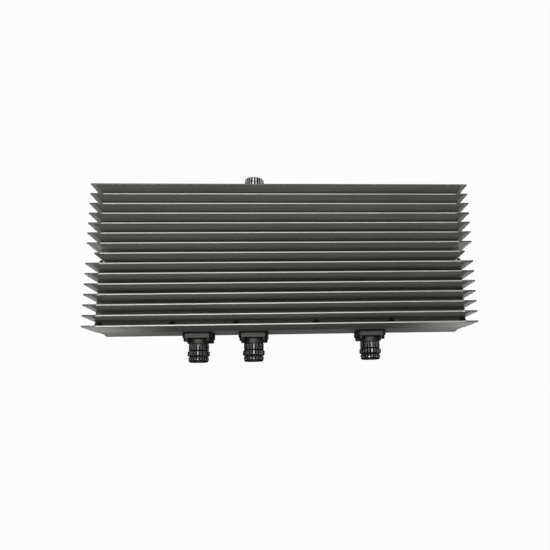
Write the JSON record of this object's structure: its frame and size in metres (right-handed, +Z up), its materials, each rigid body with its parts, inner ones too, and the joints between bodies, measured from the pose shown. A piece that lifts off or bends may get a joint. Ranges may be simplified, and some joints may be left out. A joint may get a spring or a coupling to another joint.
{
  "type": "rf hybrid combiner",
  "caption": "Sealed box that adds radio signals from its front coaxial ports into one back port, under a long finned heat sink.",
  "frame": {"origin": "centre of the underside's bounding box, on the face that the box rests on", "axes": "+X along the fins, to the right seen from the front ports; -Y out of the front wall; +Z up, fins on top"},
  "size_m": [0.324, 0.1702, 0.068],
  "materials": {
    "fin_metal": "satin dark grey anodised faces, bare bright tips",
    "housing_black": "fine satin black coating",
    "port_metal": "dark satin plating, shiny on the ribs",
    "contact_gold": "gold plated",
    "insulator_white": "white fluoropolymer, matte",
    "seal_rubber": "black rubber",
    "screw_black": "black oxide steel",
    "screw_steel": "stainless steel",
    "line_silver": "silver plated",
    "load_copper": "bare copper",
    "load_ceramic": "matte white oxide ceramic"
  },
  "bodies": {
    "root": {"heat_sink": "fin_metal", "housing_frame": "housing_black", "bottom_cover": "housing_black", "top_seal": "seal_rubber", "bottom_seal": "seal_rubber", "heat_sink_screws": "screw_black", "fin_end_screws": "screw_steel", "cover_screws": "screw_black", "port_1_body": "port_metal", "port_1_insulator": "insulator_white", "port_1_contact": "contact_gold", "port_1_gasket": "seal_rubber", "port_1_screws": "screw_black", "port_2_body": "port_metal", "port_2_insulator": "insulator_white", "port_2_contact": "contact_gold", "port_2_gasket": "seal_rubber", "port_2_screws": "screw_black", "port_3_body": "port_metal", "port_3_insulator": "insulator_white", "port_3_contact": "contact_gold", "port_3_gasket": "seal_rubber", "port_3_screws": "screw_black", "port_4_body": "port_metal", "port_4_insulator": "insulator_white", "port_4_contact": "contact_gold", "port_4_gasket": "seal_rubber", "port_4_screws": "screw_black", "hybrid_a_upper_bar": "line_silver", "hybrid_a_lower_bar": "line_silver", "hybrid_b_upper_bar": "line_silver", "hybrid_b_lower_bar": "line_silver", "link_strip": "line_silver", "link_screws": "screw_steel", "posts_a": "insulator_white", "posts_b": "insulator_white", "load_a_flange": "load_copper", "load_a_ceramic": "load_ceramic", "load_a_lead": "line_silver", "load_a_screws": "screw_steel", "load_b_flange": "load_copper", "load_b_ceramic": "load_ceramic", "load_b_lead": "line_silver", "load_b_screws": "screw_steel"}
  },
  "joints": []
}
